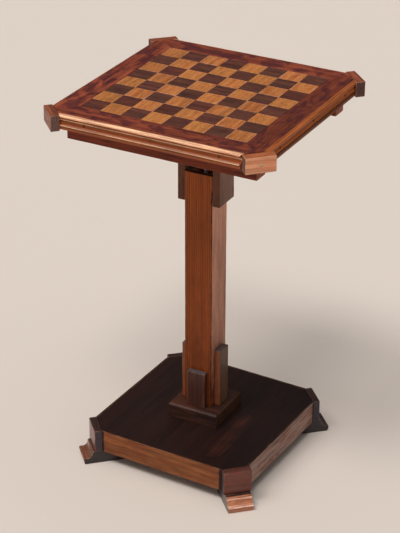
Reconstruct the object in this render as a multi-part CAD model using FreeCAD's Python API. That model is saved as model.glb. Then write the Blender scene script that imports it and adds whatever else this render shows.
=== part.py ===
"""Pedestal chess table: an inlaid 8 x 8 board on a hollow square post with a low square base on bracket feet.

Millimetres, +Z up. The origin is on the floor under the centre of the board. The front is -Y, the right is +X.
Every side piece is drawn at the front and every corner piece on the +X half of the diagonals, then turned
about Z by quarter turns.
"""
import FreeCAD
import Part
import math
import os

# ---- driving dimensions -------------------------------------------------------------------------------------
HEIGHT = 720.0              # floor to playing surface
SQUARE = 40.0               # one square of the board
SQUARES = 8                 # squares along a side

# top
VENEER = 2.0                # thickness of the squares and of the border
BORDER = 41.0               # width of the border round the squares
CORE_THICK = 18.0           # board that carries the veneers
MOULDING_THICK = 7.0        # edge moulding, measured outwards
MOULDING_HIGH = 27.0
CORNER_WIDE = 52.0          # width of the clipped corners of the top
BLOCK_WIDE = 54.0           # blocks across them
BLOCK_HIGH = 29.3
BLOCK_DROP = 1.0            # their tops lie this far below the playing surface
BLOCK_EASE = 0.8            # eased edges of the corner blocks
# at each of the CORNERS: thickness of the block, and how far right it sits, seen from outside
BLOCKS = ((18.0, 6.0), (18.0, 0.0), (18.0, 0.0), (16.6, 0.0))

# underframe of the top
BATTEN_LONG = 367.0
BATTEN_SLIP = 2.5           # both battens sit this far right of the middle
BATTEN_WIDE = 32.0
BATTEN_HIGH = 40.0
BATTEN_EASE = 1.0
BATTEN_PITCH = 310.0        # between the centre lines of the two battens
BATTEN_SCREW_X = (60.0, 160.0)
BEARER_SCREW_Y = 95.0

# post
POST_WIDE = 56.0
POST_WALL = 10.0
POST_TOP = 575.0            # height of the top of the post above the floor
CHEEK_THICK = 14.5
CHEEK_BOTTOM = 517.0
CHEEK_EASE = 2.0
PLUG_HIGH = 80.0
STEP_THICK = 12.3           # stepped blocks round the foot of the post
STEP_EASE = 1.5
# on each of the SIDES: width of the block, height of its top, and how far right it sits, seen from outside
STEPS = ((37.0, 174.0, 1.5), (33.5, 217.0, 0.0), (37.0, 174.0, 0.0), (33.5, 217.0, 0.0))
COLLAR_WIDE = 102.0
COLLAR_EASE = 3.0

# base
BASE_TURN = -2.0            # the base sits a little askew under the post, in degrees
BASE_BACK = 3.0             # and this far towards the back
BASE_WIDE = 330.0           # over the rails
BASE_TOP = 71.0
BASE_BOTTOM = 26.0          # underside of the rails
COLLAR_TOP = 100.0
RAIL_THICK = 18.0
RAIL_LIP = 4.0              # rail left outside the rebate that holds the base board
BASE_BOARD_THICK = 12.0
BASE_BEARER_WIDE = 60.0
BASE_BEARER_HIGH = 20.0
GLUE_BLOCK_LEG = 50.0

# blocks across the clipped corners of the base
BASE_CORNER_WIDE = 53.0     # width of the clipped corners
BASE_BLOCK_EASE = 0.8
# at each of the CORNERS: width and thickness of the block, and how far right it sits, seen from outside
BASE_BLOCKS = ((53.0, 16.5, 1.3), (53.0, 13.0, 0.0), (48.0, 14.0, -2.4), (53.0, 14.2, 0.0))

# feet: distances along the diagonal are from the centre
FOOT_WIDE = 48.0
FOOT_HEEL = 165.0           # distance of the inner end of the heel
# at each of the CORNERS: distances of the edge above the hollow and of the tip of the toe, and how far right
# the foot sits, seen from outside
FEET = ((234.4, 247.5, 1.5), (225.0, 240.1, 0.0), (226.0, 240.5, 0.0), (225.5, 242.4, 0.0))
FOOT_STEP_ROUND = 3.5       # rounding of that edge
FOOT_STEP_LOW = 21.0        # the hollow of the toe starts here
FOOT_NOSE_TOP = 12.5
FOOT_NOSE_ROUND = 3.0
FOOT_UNDERCUT = 2.0         # the toe draws in by this much at the floor
FOOT_HOLLOW = 0.25          # depth of the hollow of the toe: 0.5 is a straight slope, 0 a square corner
FOOT_SCREW_PLACES = (182.0, 198.0)      # along the diagonal
FOOT_SCREW_SUNK = 3.0

# tie rod
ROD_RADIUS = 4.0
ROD_CLEARANCE = 0.2
ROD_BOTTOM = 28.0
WASHER_RADIUS = 11.0
WASHER_THICK = 1.5
NUT_FLATS = 13.0
NUT_HIGH = 6.5
NUT_POCKET_RADIUS = 12.0
NUT_POCKET_DEEP = 14.0
ROD_THREAD_OVER = 3.0       # thread standing past a nut

# wood screws: shank radius, head radius, head height
TRIM_SCREW = (1.0, 2.0, 1.6)
BLOCK_SCREW = (1.5, 2.8, 2.2)
FRAME_SCREW = (2.0, 4.0, 3.0)
FRAME_SCREW_BITE = 13.0     # length of a frame screw in the piece it holds
COLLAR_SCREW_SPREAD = 38.0  # distance of the collar screws from the centre lines

# ---- sizes worked out from them -----------------------------------------------------------------------------
BOARD_HALF = SQUARE * SQUARES / 2
CORE_HALF = BOARD_HALF + BORDER
TOP_HALF = CORE_HALF + MOULDING_THICK
ROOT2 = math.sqrt(2)
CORNER_CUT = TOP_HALF * ROOT2 - CORNER_WIDE / 2         # clipped corners of the top, along the diagonal
BLOCK_TOP = HEIGHT - BLOCK_DROP
VENEER_BOTTOM = HEIGHT - VENEER
CORE_BOTTOM = VENEER_BOTTOM - CORE_THICK
FRAME_BOTTOM = CORE_BOTTOM - BATTEN_HIGH
BATTEN_INNER = (BATTEN_PITCH - BATTEN_WIDE) / 2
POST_HALF = POST_WIDE / 2
BASE_HALF = BASE_WIDE / 2
RAIL_INNER = BASE_HALF - RAIL_THICK
BOARD_BED = BASE_TOP - BASE_BOARD_THICK                 # underside of the base board
BASE_CUT = BASE_HALF * ROOT2 - BASE_CORNER_WIDE / 2     # clipped corners of the base, along the diagonal
BASE_BEARER_BOTTOM = BOARD_BED - BASE_BEARER_HIGH
POCKET_FLOOR = CORE_BOTTOM - NUT_POCKET_DEEP
ROD_TOP = POCKET_FLOOR + WASHER_THICK + NUT_HIGH + ROD_THREAD_OVER

SIDES = ("front", "right", "back", "left")
CORNERS = ("front_right", "back_right", "back_left", "front_left")
FAR = 1000.0                # larger than the table
NEAR = 1.0                  # edges closer than this to a plane are taken as lying on it

Z_AXIS = FreeCAD.Vector(0, 0, 1)
CENTRE = FreeCAD.Vector(0, 0, 0)


# ---- helpers ------------------------------------------------------------------------------------------------
def vec(x, y, z):
    return FreeCAD.Vector(x, y, z)


def box(x_from, x_to, y_from, y_to, z_from, z_to):
    return Part.makeBox(x_to - x_from, y_to - y_from, z_to - z_from, vec(x_from, y_from, z_from))


def turned(shape, degrees):
    copy = shape.copy()
    copy.rotate(CENTRE, Z_AXIS, degrees)
    return copy


def at_base(shape, degrees=0.0):
    """A shape of the base, drawn square under the board and turned by degrees, put in its askew place."""
    copy = turned(shape, degrees + BASE_TURN)
    copy.translate(vec(0, BASE_BACK, 0))
    return copy


def diamond(reach, z_from, z_to):
    """A square prism with its sides across the diagonals, reach from the centre to each side."""
    return turned(box(-reach, reach, -reach, reach, z_from, z_to), 45)


def front_quarter(z_from, z_to):
    """The prism between the two diagonals, on the front side."""
    points = [vec(0, 0, z_from), vec(-FAR, -FAR, z_from), vec(FAR, -FAR, z_from), vec(0, 0, z_from)]
    return Part.Face(Part.makePolygon(points)).extrude(vec(0, 0, z_to - z_from))


def edges_at(shape, wanted):
    """The straight edges whose middle point wanted() accepts."""
    return [e for e in shape.Edges if wanted(e.valueAt((e.FirstParameter + e.LastParameter) / 2))]


def screw(size, length):
    """A countersunk wood screw with the top of its head at the origin, pointing down -Z."""
    shank, head, head_high = size
    cone = Part.makeCone(shank, head, head_high, vec(0, 0, -head_high))
    point_long = 3 * shank
    straight = Part.makeCylinder(shank, length - head_high - point_long, vec(0, 0, point_long - length))
    point = Part.makeCone(shank / 4, shank, point_long, vec(0, 0, -length))
    return cone.fuse([straight, point]).removeSplitter()


def placed(shape, position, axis):
    """A shape drawn down -Z, moved so that its origin is at position and it points along axis."""
    copy = shape.copy()
    copy.Placement = FreeCAD.Placement(position, FreeCAD.Rotation(vec(0, 0, -1), axis))
    return copy


def all_round(shapes):
    """The shapes at the front and their copies on the other three sides."""
    return [turned(s, 90 * quarter) for quarter in range(4) for s in shapes]


def drilled(shape, fasteners):
    return shape.cut(fasteners) if fasteners else shape


# ---- top ----------------------------------------------------------------------------------------------------
def board_squares(dark):
    """Every second square of the board. The front left corner square is dark."""
    tiles = []
    for column in range(SQUARES):
        for row in range(SQUARES):
            if ((column + row) % 2 == 0) == dark:
                x = column * SQUARE - BOARD_HALF
                y = row * SQUARE - BOARD_HALF
                tiles.append(box(x, x + SQUARE, y, y + SQUARE, VENEER_BOTTOM, HEIGHT))
    return Part.makeCompound(tiles)


def border_front():
    """A border strip, mitred on the diagonals and clipped at the corner blocks."""
    strip = box(-CORE_HALF, CORE_HALF, -CORE_HALF, -BOARD_HALF, VENEER_BOTTOM, HEIGHT)
    strip = strip.common(front_quarter(VENEER_BOTTOM, HEIGHT))
    return strip.common(diamond(CORNER_CUT, VENEER_BOTTOM, HEIGHT))


def top_core():
    slab = box(-CORE_HALF, CORE_HALF, -CORE_HALF, CORE_HALF, CORE_BOTTOM, VENEER_BOTTOM)
    return slab.common(diamond(CORNER_CUT, CORE_BOTTOM, VENEER_BOTTOM))


def moulding_profile():
    """Section of the edge moulding: bead, groove, fillet, cove, second bead, groove and a plain foot fillet.
    Each point is (outwards from the core, down from the playing surface)."""
    bead_in, bead_mid, bead_mid_low, bead_out, bead_low = 0.8, 4.6, 1.9, 6.9, 4.8
    groove_in, groove_top, groove_low = 4.2, 5.2, 6.4
    fillet_out, fillet_low = 5.4, 8.0
    cove_in, cove_mid, cove_mid_low, cove_out, cove_low = 3.0, 3.4, 13.5, 5.8, 18.0
    bead_two_low = 21.4
    groove_two_in, groove_two_low = 5.0, 22.4
    foot_out = 6.2

    def at(out, down):
        return vec(0, -CORE_HALF - out, HEIGHT - down)

    def line(a, b):
        return Part.makeLine(at(*a), at(*b))

    def arc(a, b, c):
        return Part.Arc(at(*a), at(*b), at(*c)).toShape()

    edges = [
        line((0, 0), (bead_in, 0)),
        arc((bead_in, 0), (bead_mid, bead_mid_low), (bead_out, bead_low)),
        line((bead_out, bead_low), (groove_in, groove_top)),
        line((groove_in, groove_top), (groove_in, groove_low)),
        line((groove_in, groove_low), (fillet_out, groove_low)),
        line((fillet_out, groove_low), (fillet_out, fillet_low)),
        line((fillet_out, fillet_low), (cove_in, fillet_low)),
        arc((cove_in, fillet_low), (cove_mid, cove_mid_low), (cove_out, cove_low)),
        arc((cove_out, cove_low), (MOULDING_THICK, (cove_low + bead_two_low) / 2), (cove_out, bead_two_low)),
        line((cove_out, bead_two_low), (groove_two_in, bead_two_low)),
        line((groove_two_in, bead_two_low), (groove_two_in, groove_two_low)),
        line((groove_two_in, groove_two_low), (foot_out, groove_two_low)),
        line((foot_out, groove_two_low), (foot_out, MOULDING_HIGH)),
        line((foot_out, MOULDING_HIGH), (0, MOULDING_HIGH)),
        line((0, MOULDING_HIGH), (0, 0)),
    ]
    return Part.Face(Part.Wire(edges))


def moulding_front():
    run = moulding_profile()
    run.translate(vec(-FAR / 2, 0, 0))
    run = run.extrude(vec(FAR, 0, 0))
    return run.common(diamond(CORNER_CUT, HEIGHT - MOULDING_HIGH, HEIGHT))


def moulding_screws_front():
    """Three screws in the cove, a little right of the middle."""
    seat_out, seat_down = 4.4, 13.5
    pitch, slip = 129.0, 4.0
    length = 18.0
    y = -CORE_HALF - seat_out
    pin = screw(TRIM_SCREW, length)
    places = (slip - pitch, slip, slip + pitch)
    return [placed(pin, vec(x, y, HEIGHT - seat_down), vec(0, 1, 0)) for x in places]


def head_seats(front_screws):
    """Round sinkings in front of the screw heads, so that the heads sit in the hollow of the cove."""
    head = TRIM_SCREW[1]
    return [Part.makeCylinder(head, SQUARE, s.Placement.Base, vec(0, -1, 0)) for s in front_screws]


def corner_block(thick, slip):
    """A block across the clipped corner, drawn with its outward direction along +X."""
    outer = CORNER_CUT + thick
    half = BLOCK_WIDE / 2
    block = box(CORNER_CUT, outer, slip - half, slip + half, BLOCK_TOP - BLOCK_HIGH, BLOCK_TOP)
    eased = edges_at(block, lambda p: p.x > outer - BLOCK_EASE)
    return block.makeChamfer(BLOCK_EASE, eased)


def corner_block_screw(thick, slip):
    length = 45.0
    at = vec(CORNER_CUT + thick, slip, BLOCK_TOP - BLOCK_HIGH / 2)
    return placed(screw(BLOCK_SCREW, length), at, vec(-1, 0, 0))


# ---- underframe ---------------------------------------------------------------------------------------------
def batten(y_centre):
    half = BATTEN_WIDE / 2
    left, right = BATTEN_SLIP - BATTEN_LONG / 2, BATTEN_SLIP + BATTEN_LONG / 2
    bar = box(left, right, y_centre - half, y_centre + half, FRAME_BOTTOM, CORE_BOTTOM)
    low = edges_at(bar, lambda p: p.z < FRAME_BOTTOM + NEAR)
    return bar.makeChamfer(BATTEN_EASE, low)


def centre_bearer():
    """The bar between the battens that carries the top on the two cheeks."""
    bar = box(-POST_HALF, POST_HALF, -BATTEN_INNER, BATTEN_INNER, FRAME_BOTTOM, CORE_BOTTOM)
    pocket = Part.makeCylinder(NUT_POCKET_RADIUS, NUT_POCKET_DEEP, vec(0, 0, POCKET_FLOOR))
    return bar.cut([pocket, rod_hole(FRAME_BOTTOM, CORE_BOTTOM)])


def underframe_screws():
    """Screws driven up through the battens and the bearer into the core of the top."""
    pin = screw(FRAME_SCREW, BATTEN_HIGH + FRAME_SCREW_BITE)
    places = [(0, side * BEARER_SCREW_Y) for side in (-1, 1)]
    for x in BATTEN_SCREW_X:
        places += [(across * x, side * BATTEN_PITCH / 2) for across in (-1, 1) for side in (-1, 1)]
    return [placed(pin, vec(x, y, FRAME_BOTTOM), vec(0, 0, 1)) for x, y in places]


def cheek_right():
    """The plate on the side of the post that rises to the underside of the top."""
    outer = POST_HALF + CHEEK_THICK
    plate = box(POST_HALF, outer, -POST_HALF, POST_HALF, CHEEK_BOTTOM, CORE_BOTTOM)
    low = edges_at(plate, lambda p: p.z < CHEEK_BOTTOM + NEAR and p.x > POST_HALF + NEAR)
    return plate.makeChamfer(CHEEK_EASE, low)


def cheek_dowels_right():
    """Two blind dowels between the right cheek and the bearer."""
    radius, length, depth_in_cheek, spread = 4.0, 30.0, 10.0, 28.0
    z = CORE_BOTTOM - BATTEN_HIGH / 2
    start = POST_HALF + depth_in_cheek - length
    places = (-spread / 2, spread / 2)
    return [Part.makeCylinder(radius, length, vec(start, y, z), vec(1, 0, 0)) for y in places]


# ---- post ---------------------------------------------------------------------------------------------------
def post_wall_front():
    """One of the four boards of the hollow post, mitred along its long edges."""
    inner = POST_HALF - POST_WALL
    wall = box(-POST_HALF, POST_HALF, -POST_HALF, -inner, COLLAR_TOP, POST_TOP)
    return wall.common(front_quarter(COLLAR_TOP, POST_TOP))


def post_plug():
    """The block inside the foot of the post that keeps it over the rod."""
    inner = POST_HALF - POST_WALL
    plug = box(-inner, inner, -inner, inner, COLLAR_TOP, COLLAR_TOP + PLUG_HIGH)
    return plug.cut(rod_hole(COLLAR_TOP, COLLAR_TOP + PLUG_HIGH))


def step_block_front(wide, top, slip):
    """A block on the collar against the front of the post."""
    outer = -POST_HALF - STEP_THICK
    block = box(slip - wide / 2, slip + wide / 2, outer, -POST_HALF, COLLAR_TOP, top)
    eased = edges_at(block, lambda p: p.z > top - NEAR and p.y < -POST_HALF - NEAR)
    return block.makeChamfer(STEP_EASE, eased)


def collar():
    half = COLLAR_WIDE / 2
    pad = box(-half, half, -half, half, BASE_TOP, COLLAR_TOP)
    pad = pad.makeChamfer(COLLAR_EASE, edges_at(pad, lambda p: p.z > COLLAR_TOP - NEAR))
    return pad.cut(rod_hole(BASE_TOP, COLLAR_TOP))


def collar_screws():
    """Four screws up through the base board into the collar."""
    pin = screw(FRAME_SCREW, BASE_BOARD_THICK + FRAME_SCREW_BITE)
    spread = (-COLLAR_SCREW_SPREAD, COLLAR_SCREW_SPREAD)
    return [placed(pin, vec(x, y, BOARD_BED), vec(0, 0, 1)) for x in spread for y in spread]


# ---- base ---------------------------------------------------------------------------------------------------
def base_board():
    half = BASE_HALF - RAIL_LIP
    board = box(-half, half, -half, half, BOARD_BED, BASE_TOP)
    board = board.common(diamond(BASE_CUT, BOARD_BED, BASE_TOP))
    return at_base(board).cut(rod_hole(BOARD_BED, BASE_TOP))


def rail_front():
    """A rebated rail, mitred at the corners and clipped behind the feet."""
    lip = BASE_HALF - RAIL_LIP
    rail = box(-BASE_HALF, BASE_HALF, -BASE_HALF, -RAIL_INNER, BASE_BOTTOM, BASE_TOP)
    rail = rail.cut(box(-FAR, FAR, -lip, 0, BOARD_BED, FAR))
    rail = rail.common(front_quarter(BASE_BOTTOM, BASE_TOP))
    return rail.common(diamond(BASE_CUT, BASE_BOTTOM, BASE_TOP))


def base_bearer():
    """The bar under the base board that takes the pull of the rod."""
    half = BASE_BEARER_WIDE / 2
    bar = box(-half, half, -RAIL_INNER, RAIL_INNER, BASE_BEARER_BOTTOM, BOARD_BED)
    return at_base(bar).cut(rod_hole(BASE_BEARER_BOTTOM, BOARD_BED))


def glue_block():
    """The three-cornered block inside a corner of the base, drawn in the front right corner."""
    corner = vec(RAIL_INNER, -RAIL_INNER, BASE_BOTTOM)
    along_front = vec(RAIL_INNER - GLUE_BLOCK_LEG, -RAIL_INNER, BASE_BOTTOM)
    along_right = vec(RAIL_INNER, -RAIL_INNER + GLUE_BLOCK_LEG, BASE_BOTTOM)
    outline = Part.makePolygon([corner, along_right, along_front, corner])
    return Part.Face(outline).extrude(vec(0, 0, BOARD_BED - BASE_BOTTOM))


def base_block(wide, thick, slip):
    """A block across a clipped corner of the base, drawn with its outward direction along +X."""
    outer = BASE_CUT + thick
    block = box(BASE_CUT, outer, slip - wide / 2, slip + wide / 2, BASE_BOTTOM, BASE_TOP)
    return block.makeChamfer(BASE_BLOCK_EASE, edges_at(block, lambda p: p.x > outer - NEAR))


def foot_profile(step_out, toe):
    """Side view of a bracket foot: heel under the base, moulded toe that carries the corner block.
    Each point is (outwards along the diagonal, height)."""
    round_low = BASE_BOTTOM - FOOT_STEP_ROUND
    nose_in = toe - FOOT_NOSE_ROUND
    hollow_out = step_out + (nose_in - step_out) * FOOT_HOLLOW
    hollow_high = FOOT_NOSE_TOP + (FOOT_STEP_LOW - FOOT_NOSE_TOP) * FOOT_HOLLOW
    slope = 1 / ROOT2
    nose_mid = (nose_in + FOOT_NOSE_ROUND * slope, FOOT_NOSE_TOP - FOOT_NOSE_ROUND * (1 - slope))

    def at(point):
        return vec(point[0], 0, point[1])

    def line(a, b):
        return Part.makeLine(at(a), at(b))

    def arc(a, b, c):
        return Part.Arc(at(a), at(b), at(c)).toShape()

    step_top = (step_out - FOOT_STEP_ROUND, BASE_BOTTOM)
    step_mid = (step_out - FOOT_STEP_ROUND * (1 - slope), BASE_BOTTOM - FOOT_STEP_ROUND * (1 - slope))
    toe_low = (toe - FOOT_UNDERCUT, 0)
    edges = [
        line((FOOT_HEEL, 0), toe_low),
        line(toe_low, (toe, FOOT_NOSE_TOP - FOOT_NOSE_ROUND)),
        arc((toe, FOOT_NOSE_TOP - FOOT_NOSE_ROUND), nose_mid, (nose_in, FOOT_NOSE_TOP)),
        arc((nose_in, FOOT_NOSE_TOP), (hollow_out, hollow_high), (step_out, FOOT_STEP_LOW)),
        line((step_out, FOOT_STEP_LOW), (step_out, round_low)),
        arc((step_out, round_low), step_mid, step_top),
        line(step_top, (FOOT_HEEL, BASE_BOTTOM)),
        line((FOOT_HEEL, BASE_BOTTOM), (FOOT_HEEL, 0)),
    ]
    return Part.Face(Part.Wire(edges))


def foot(step_out, toe, slip):
    """A bracket foot, drawn with its outward direction along +X."""
    side = foot_profile(step_out, toe)
    side.translate(vec(0, slip - FOOT_WIDE / 2, 0))
    return side.extrude(vec(0, FOOT_WIDE, 0))


def foot_screws():
    """Two screws up through the heel into the glue block, drawn along +X."""
    pin = screw(FRAME_SCREW, BASE_BOTTOM - FOOT_SCREW_SUNK + FRAME_SCREW_BITE)
    return [placed(pin, vec(x, 0, FOOT_SCREW_SUNK), vec(0, 0, 1)) for x in FOOT_SCREW_PLACES]


def foot_screw_sinkings():
    """The open holes below the sunk heads."""
    head = FRAME_SCREW[1]
    return [Part.makeCylinder(head, FOOT_SCREW_SUNK, vec(x, 0, 0)) for x in FOOT_SCREW_PLACES]


# ---- tie rod ------------------------------------------------------------------------------------------------
def rod_hole(z_from, z_to):
    return Part.makeCylinder(ROD_RADIUS + ROD_CLEARANCE, z_to - z_from, vec(0, 0, z_from))


def tie_rod():
    return Part.makeCylinder(ROD_RADIUS, ROD_TOP - ROD_BOTTOM, vec(0, 0, ROD_BOTTOM))


def washer(z_bottom):
    disc = Part.makeCylinder(WASHER_RADIUS, WASHER_THICK, vec(0, 0, z_bottom))
    return disc.cut(rod_hole(z_bottom, z_bottom + WASHER_THICK))


def nut(z_bottom):
    reach = NUT_FLATS / 2 / math.cos(math.radians(30))
    angles = [math.radians(60 * k) for k in range(7)]
    points = [vec(reach * math.cos(a), reach * math.sin(a), z_bottom) for a in angles]
    prism = Part.Face(Part.makePolygon(points)).extrude(vec(0, 0, NUT_HIGH))
    return prism.cut(Part.makeCylinder(ROD_RADIUS, NUT_HIGH, vec(0, 0, z_bottom)))


# ---- the table ----------------------------------------------------------------------------------------------
def build_top(nodes):
    edge_screws = moulding_screws_front()
    block_screws = [turned(corner_block_screw(*size), 90 * k - 45) for k, size in enumerate(BLOCKS)]
    frame_screws = underframe_screws()
    nodes["top_core"] = drilled(top_core(), all_round(edge_screws) + block_screws + frame_screws)
    nodes["light_squares"] = board_squares(dark=False)
    nodes["dark_squares"] = board_squares(dark=True)
    moulding = drilled(moulding_front(), edge_screws + head_seats(edge_screws))
    border = border_front()
    for quarter, side in enumerate(SIDES):
        nodes["border_" + side] = turned(border, 90 * quarter)
        nodes["moulding_" + side] = turned(moulding, 90 * quarter)
    for quarter, (corner, size) in enumerate(zip(CORNERS, BLOCKS)):
        block = corner_block(*size).cut(corner_block_screw(*size))
        nodes["corner_block_" + corner] = turned(block, 90 * quarter - 45)
    nodes["moulding_screws"] = Part.makeCompound(all_round(edge_screws))
    nodes["corner_block_screws"] = Part.makeCompound(block_screws)
    dowels = cheek_dowels_right()
    dowels = dowels + [turned(d, 180) for d in dowels]
    nodes["batten_front"] = drilled(batten(-BATTEN_PITCH / 2), frame_screws)
    nodes["batten_back"] = drilled(batten(BATTEN_PITCH / 2), frame_screws)
    nodes["centre_bearer"] = drilled(centre_bearer(), frame_screws + dowels)
    nodes["underframe_screws"] = Part.makeCompound(frame_screws)
    nodes["cheek_right"] = drilled(cheek_right(), dowels)
    nodes["cheek_left"] = turned(nodes["cheek_right"], 180)
    nodes["cheek_dowels"] = Part.makeCompound(dowels)


def build_post(nodes):
    wall = post_wall_front()
    for quarter, (side, size) in enumerate(zip(SIDES, STEPS)):
        nodes["post_" + side] = turned(wall, 90 * quarter)
        nodes["step_block_" + side] = turned(step_block_front(*size), 90 * quarter)
    nodes["post_plug"] = post_plug()
    screws = collar_screws()
    nodes["collar"] = drilled(collar(), screws)
    nodes["collar_screws"] = Part.makeCompound(screws)
    nodes["base_board"] = drilled(base_board(), screws)


def build_base(nodes):
    rail = rail_front()
    for quarter, side in enumerate(SIDES):
        nodes["rail_" + side] = at_base(rail, 90 * quarter)
    screws = foot_screws()
    sunk_screws = screws + foot_screw_sinkings()
    corner = drilled(glue_block(), [turned(s, -45) for s in screws])
    for quarter, name in enumerate(CORNERS):
        bracket = drilled(foot(*FEET[quarter]), sunk_screws)
        nodes["base_block_" + name] = at_base(base_block(*BASE_BLOCKS[quarter]), 90 * quarter - 45)
        nodes["foot_" + name] = at_base(bracket, 90 * quarter - 45)
        nodes["glue_block_" + name] = at_base(corner, 90 * quarter)
    nodes["foot_screws"] = Part.makeCompound([at_base(s, 90 * k - 45) for k in range(4) for s in screws])
    nodes["base_bearer"] = base_bearer()


def build_rod(nodes):
    washer_low = BASE_BEARER_BOTTOM - WASHER_THICK
    nodes["tie_rod"] = tie_rod()
    nodes["rod_washers"] = Part.makeCompound([washer(washer_low), washer(POCKET_FLOOR)])
    nodes["rod_nuts"] = Part.makeCompound([nut(washer_low - NUT_HIGH), nut(POCKET_FLOOR + WASHER_THICK)])


def main():
    nodes = {}
    build_top(nodes)
    build_post(nodes)
    build_base(nodes)
    build_rod(nodes)
    os.makedirs("parts", exist_ok=True)
    for name, shape in nodes.items():
        if not shape.isValid():
            raise ValueError(name + " is not a valid solid")
        shape.exportStep("parts/" + name + ".step")
    print(len(nodes), "nodes")


main()
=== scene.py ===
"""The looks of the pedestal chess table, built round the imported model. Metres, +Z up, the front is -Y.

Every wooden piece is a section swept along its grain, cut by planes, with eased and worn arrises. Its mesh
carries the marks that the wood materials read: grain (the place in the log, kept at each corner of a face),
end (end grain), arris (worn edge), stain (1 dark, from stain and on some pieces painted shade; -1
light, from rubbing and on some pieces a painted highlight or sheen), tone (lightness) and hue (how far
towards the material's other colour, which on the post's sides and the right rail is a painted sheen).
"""

import bmesh
import bpy
import math
import random
from mathutils import Matrix, Vector, noise


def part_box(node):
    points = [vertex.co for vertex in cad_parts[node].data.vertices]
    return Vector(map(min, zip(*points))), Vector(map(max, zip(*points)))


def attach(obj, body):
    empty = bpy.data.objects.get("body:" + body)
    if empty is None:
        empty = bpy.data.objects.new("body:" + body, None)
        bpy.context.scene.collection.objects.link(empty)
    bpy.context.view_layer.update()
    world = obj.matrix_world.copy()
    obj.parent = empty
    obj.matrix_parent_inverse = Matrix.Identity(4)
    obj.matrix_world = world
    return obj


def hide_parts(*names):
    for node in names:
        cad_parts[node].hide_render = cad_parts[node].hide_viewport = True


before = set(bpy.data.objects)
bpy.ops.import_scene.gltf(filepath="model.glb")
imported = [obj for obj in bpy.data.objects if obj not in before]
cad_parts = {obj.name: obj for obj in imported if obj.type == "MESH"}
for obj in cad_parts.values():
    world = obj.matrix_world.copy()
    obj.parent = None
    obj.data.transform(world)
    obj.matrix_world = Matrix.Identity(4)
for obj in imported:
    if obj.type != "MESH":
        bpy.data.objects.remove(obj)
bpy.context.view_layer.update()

# ---- sizes ----
MM = 0.001
ROOT2 = math.sqrt(2)
SIDES = ("front", "right", "back", "left")
CORNERS = ("front_right", "back_right", "back_left", "front_left")
STILL = Matrix.Identity(4)
INWARDS, UPWARDS = (0, 1, 0), (0, 0, 1)

# an edge that turns by more than this is a sharp one
CREASE = math.radians(28)

# the base stands a little askew under the post, in degrees and metres
BASE_TURN = -2.0
BASE_BACK = 3 * MM
BASE_PLACE = Matrix.Translation((0, BASE_BACK, 0)) @ Matrix.Rotation(math.radians(BASE_TURN), 4, "Z")

# a piece is drawn with its grain along x, and one of these puts the grain along an axis of the table
ALONG_X = Matrix.Identity(3)
ALONG_Y = Matrix.Rotation(math.radians(90), 3, "Z")
ALONG_Z = Matrix(((0, 1, 0), (0, 0, 1), (1, 0, 0)))


def turned(degrees, place=STILL):
    """The place of a piece that is drawn at the front, then turned about Z."""
    return place @ Matrix.Rotation(math.radians(degrees), 4, "Z")


def corner_turn(quarter, place=STILL):
    """The place of a piece that is drawn at the front and stands across a corner."""
    return turned(45 + 90 * quarter, place)


def node_points(node, place):
    """The vertices of a CAD node in the frame of place."""
    back = place.inverted()
    return [back @ v.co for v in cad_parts[node].data.vertices]


def extent(node, place):
    """The lowest and highest corners of a CAD node in the frame of place."""
    points = node_points(node, place)
    return Vector([min(p) for p in zip(*points)]), Vector([max(p) for p in zip(*points)])


# read from the frame
VENEER_LOW, BOARD_TOP = (corner.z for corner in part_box("dark_squares"))
BOARD_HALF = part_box("dark_squares")[1].x
SQUARES = 8
SQUARE = 2 * BOARD_HALF / SQUARES
CORE_HALF = -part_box("border_front")[0].y
CORNER_CUT = -extent("corner_block_front_right", corner_turn(0))[1].y
TOP_HALF = -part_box("moulding_front")[0].y
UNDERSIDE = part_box("batten_front")[0].z
POST_LOW, POST_TOP = (corner.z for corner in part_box("post_front"))
POST_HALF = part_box("post_front")[1].x
POST_INNER = -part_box("post_front")[1].y
BASE_HALF, RAIL_INNER = (-corner.y for corner in extent("rail_front", BASE_PLACE))
BASE_LOW, BASE_TOP = (corner.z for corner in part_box("rail_front"))
BOARD_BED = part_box("base_board")[0].z
BASE_BOARD_HALF = extent("base_board", BASE_PLACE)[1].x
BASE_CUT = -extent("base_board", corner_turn(0, BASE_PLACE))[0].y

# wood screws: radius of the shank, radius of the head, height of the head
TRIM_SCREW = (1.0 * MM, 2.0 * MM, 1.6 * MM)
BLOCK_SCREW = (1.5 * MM, 2.8 * MM, 2.2 * MM)
FRAME_SCREW = (2.0 * MM, 4.0 * MM, 3.0 * MM)


# ---- timber ----
def rectangle(y_low, y_high, z_low, z_high):
    return [(y_low, z_low), (y_high, z_low), (y_high, z_high), (y_low, z_high)]


def arc(start, middle, end, steps):
    """Points of the circle arc through three points, without its last one."""
    (ax, ay), (bx, by), (cx, cy) = start, middle, end
    d = 2 * (ax * (by - cy) + bx * (cy - ay) + cx * (ay - by))
    a2, b2, c2 = ax * ax + ay * ay, bx * bx + by * by, cx * cx + cy * cy
    ox = (a2 * (by - cy) + b2 * (cy - ay) + c2 * (ay - by)) / d
    oy = (a2 * (cx - bx) + b2 * (ax - cx) + c2 * (bx - ax)) / d
    turn = math.atan2(ay - oy, ax - ox)
    full = math.remainder(math.atan2(cy - oy, cx - ox) - turn, math.tau)
    half = math.remainder(math.atan2(by - oy, bx - ox) - turn, math.tau)
    if full * half < 0:
        full -= math.copysign(math.tau, full)
    radius = math.hypot(ax - ox, ay - oy)
    angles = [turn + full * k / steps for k in range(steps)]
    return [(ox + radius * math.cos(a), oy + radius * math.sin(a)) for a in angles]


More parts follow.
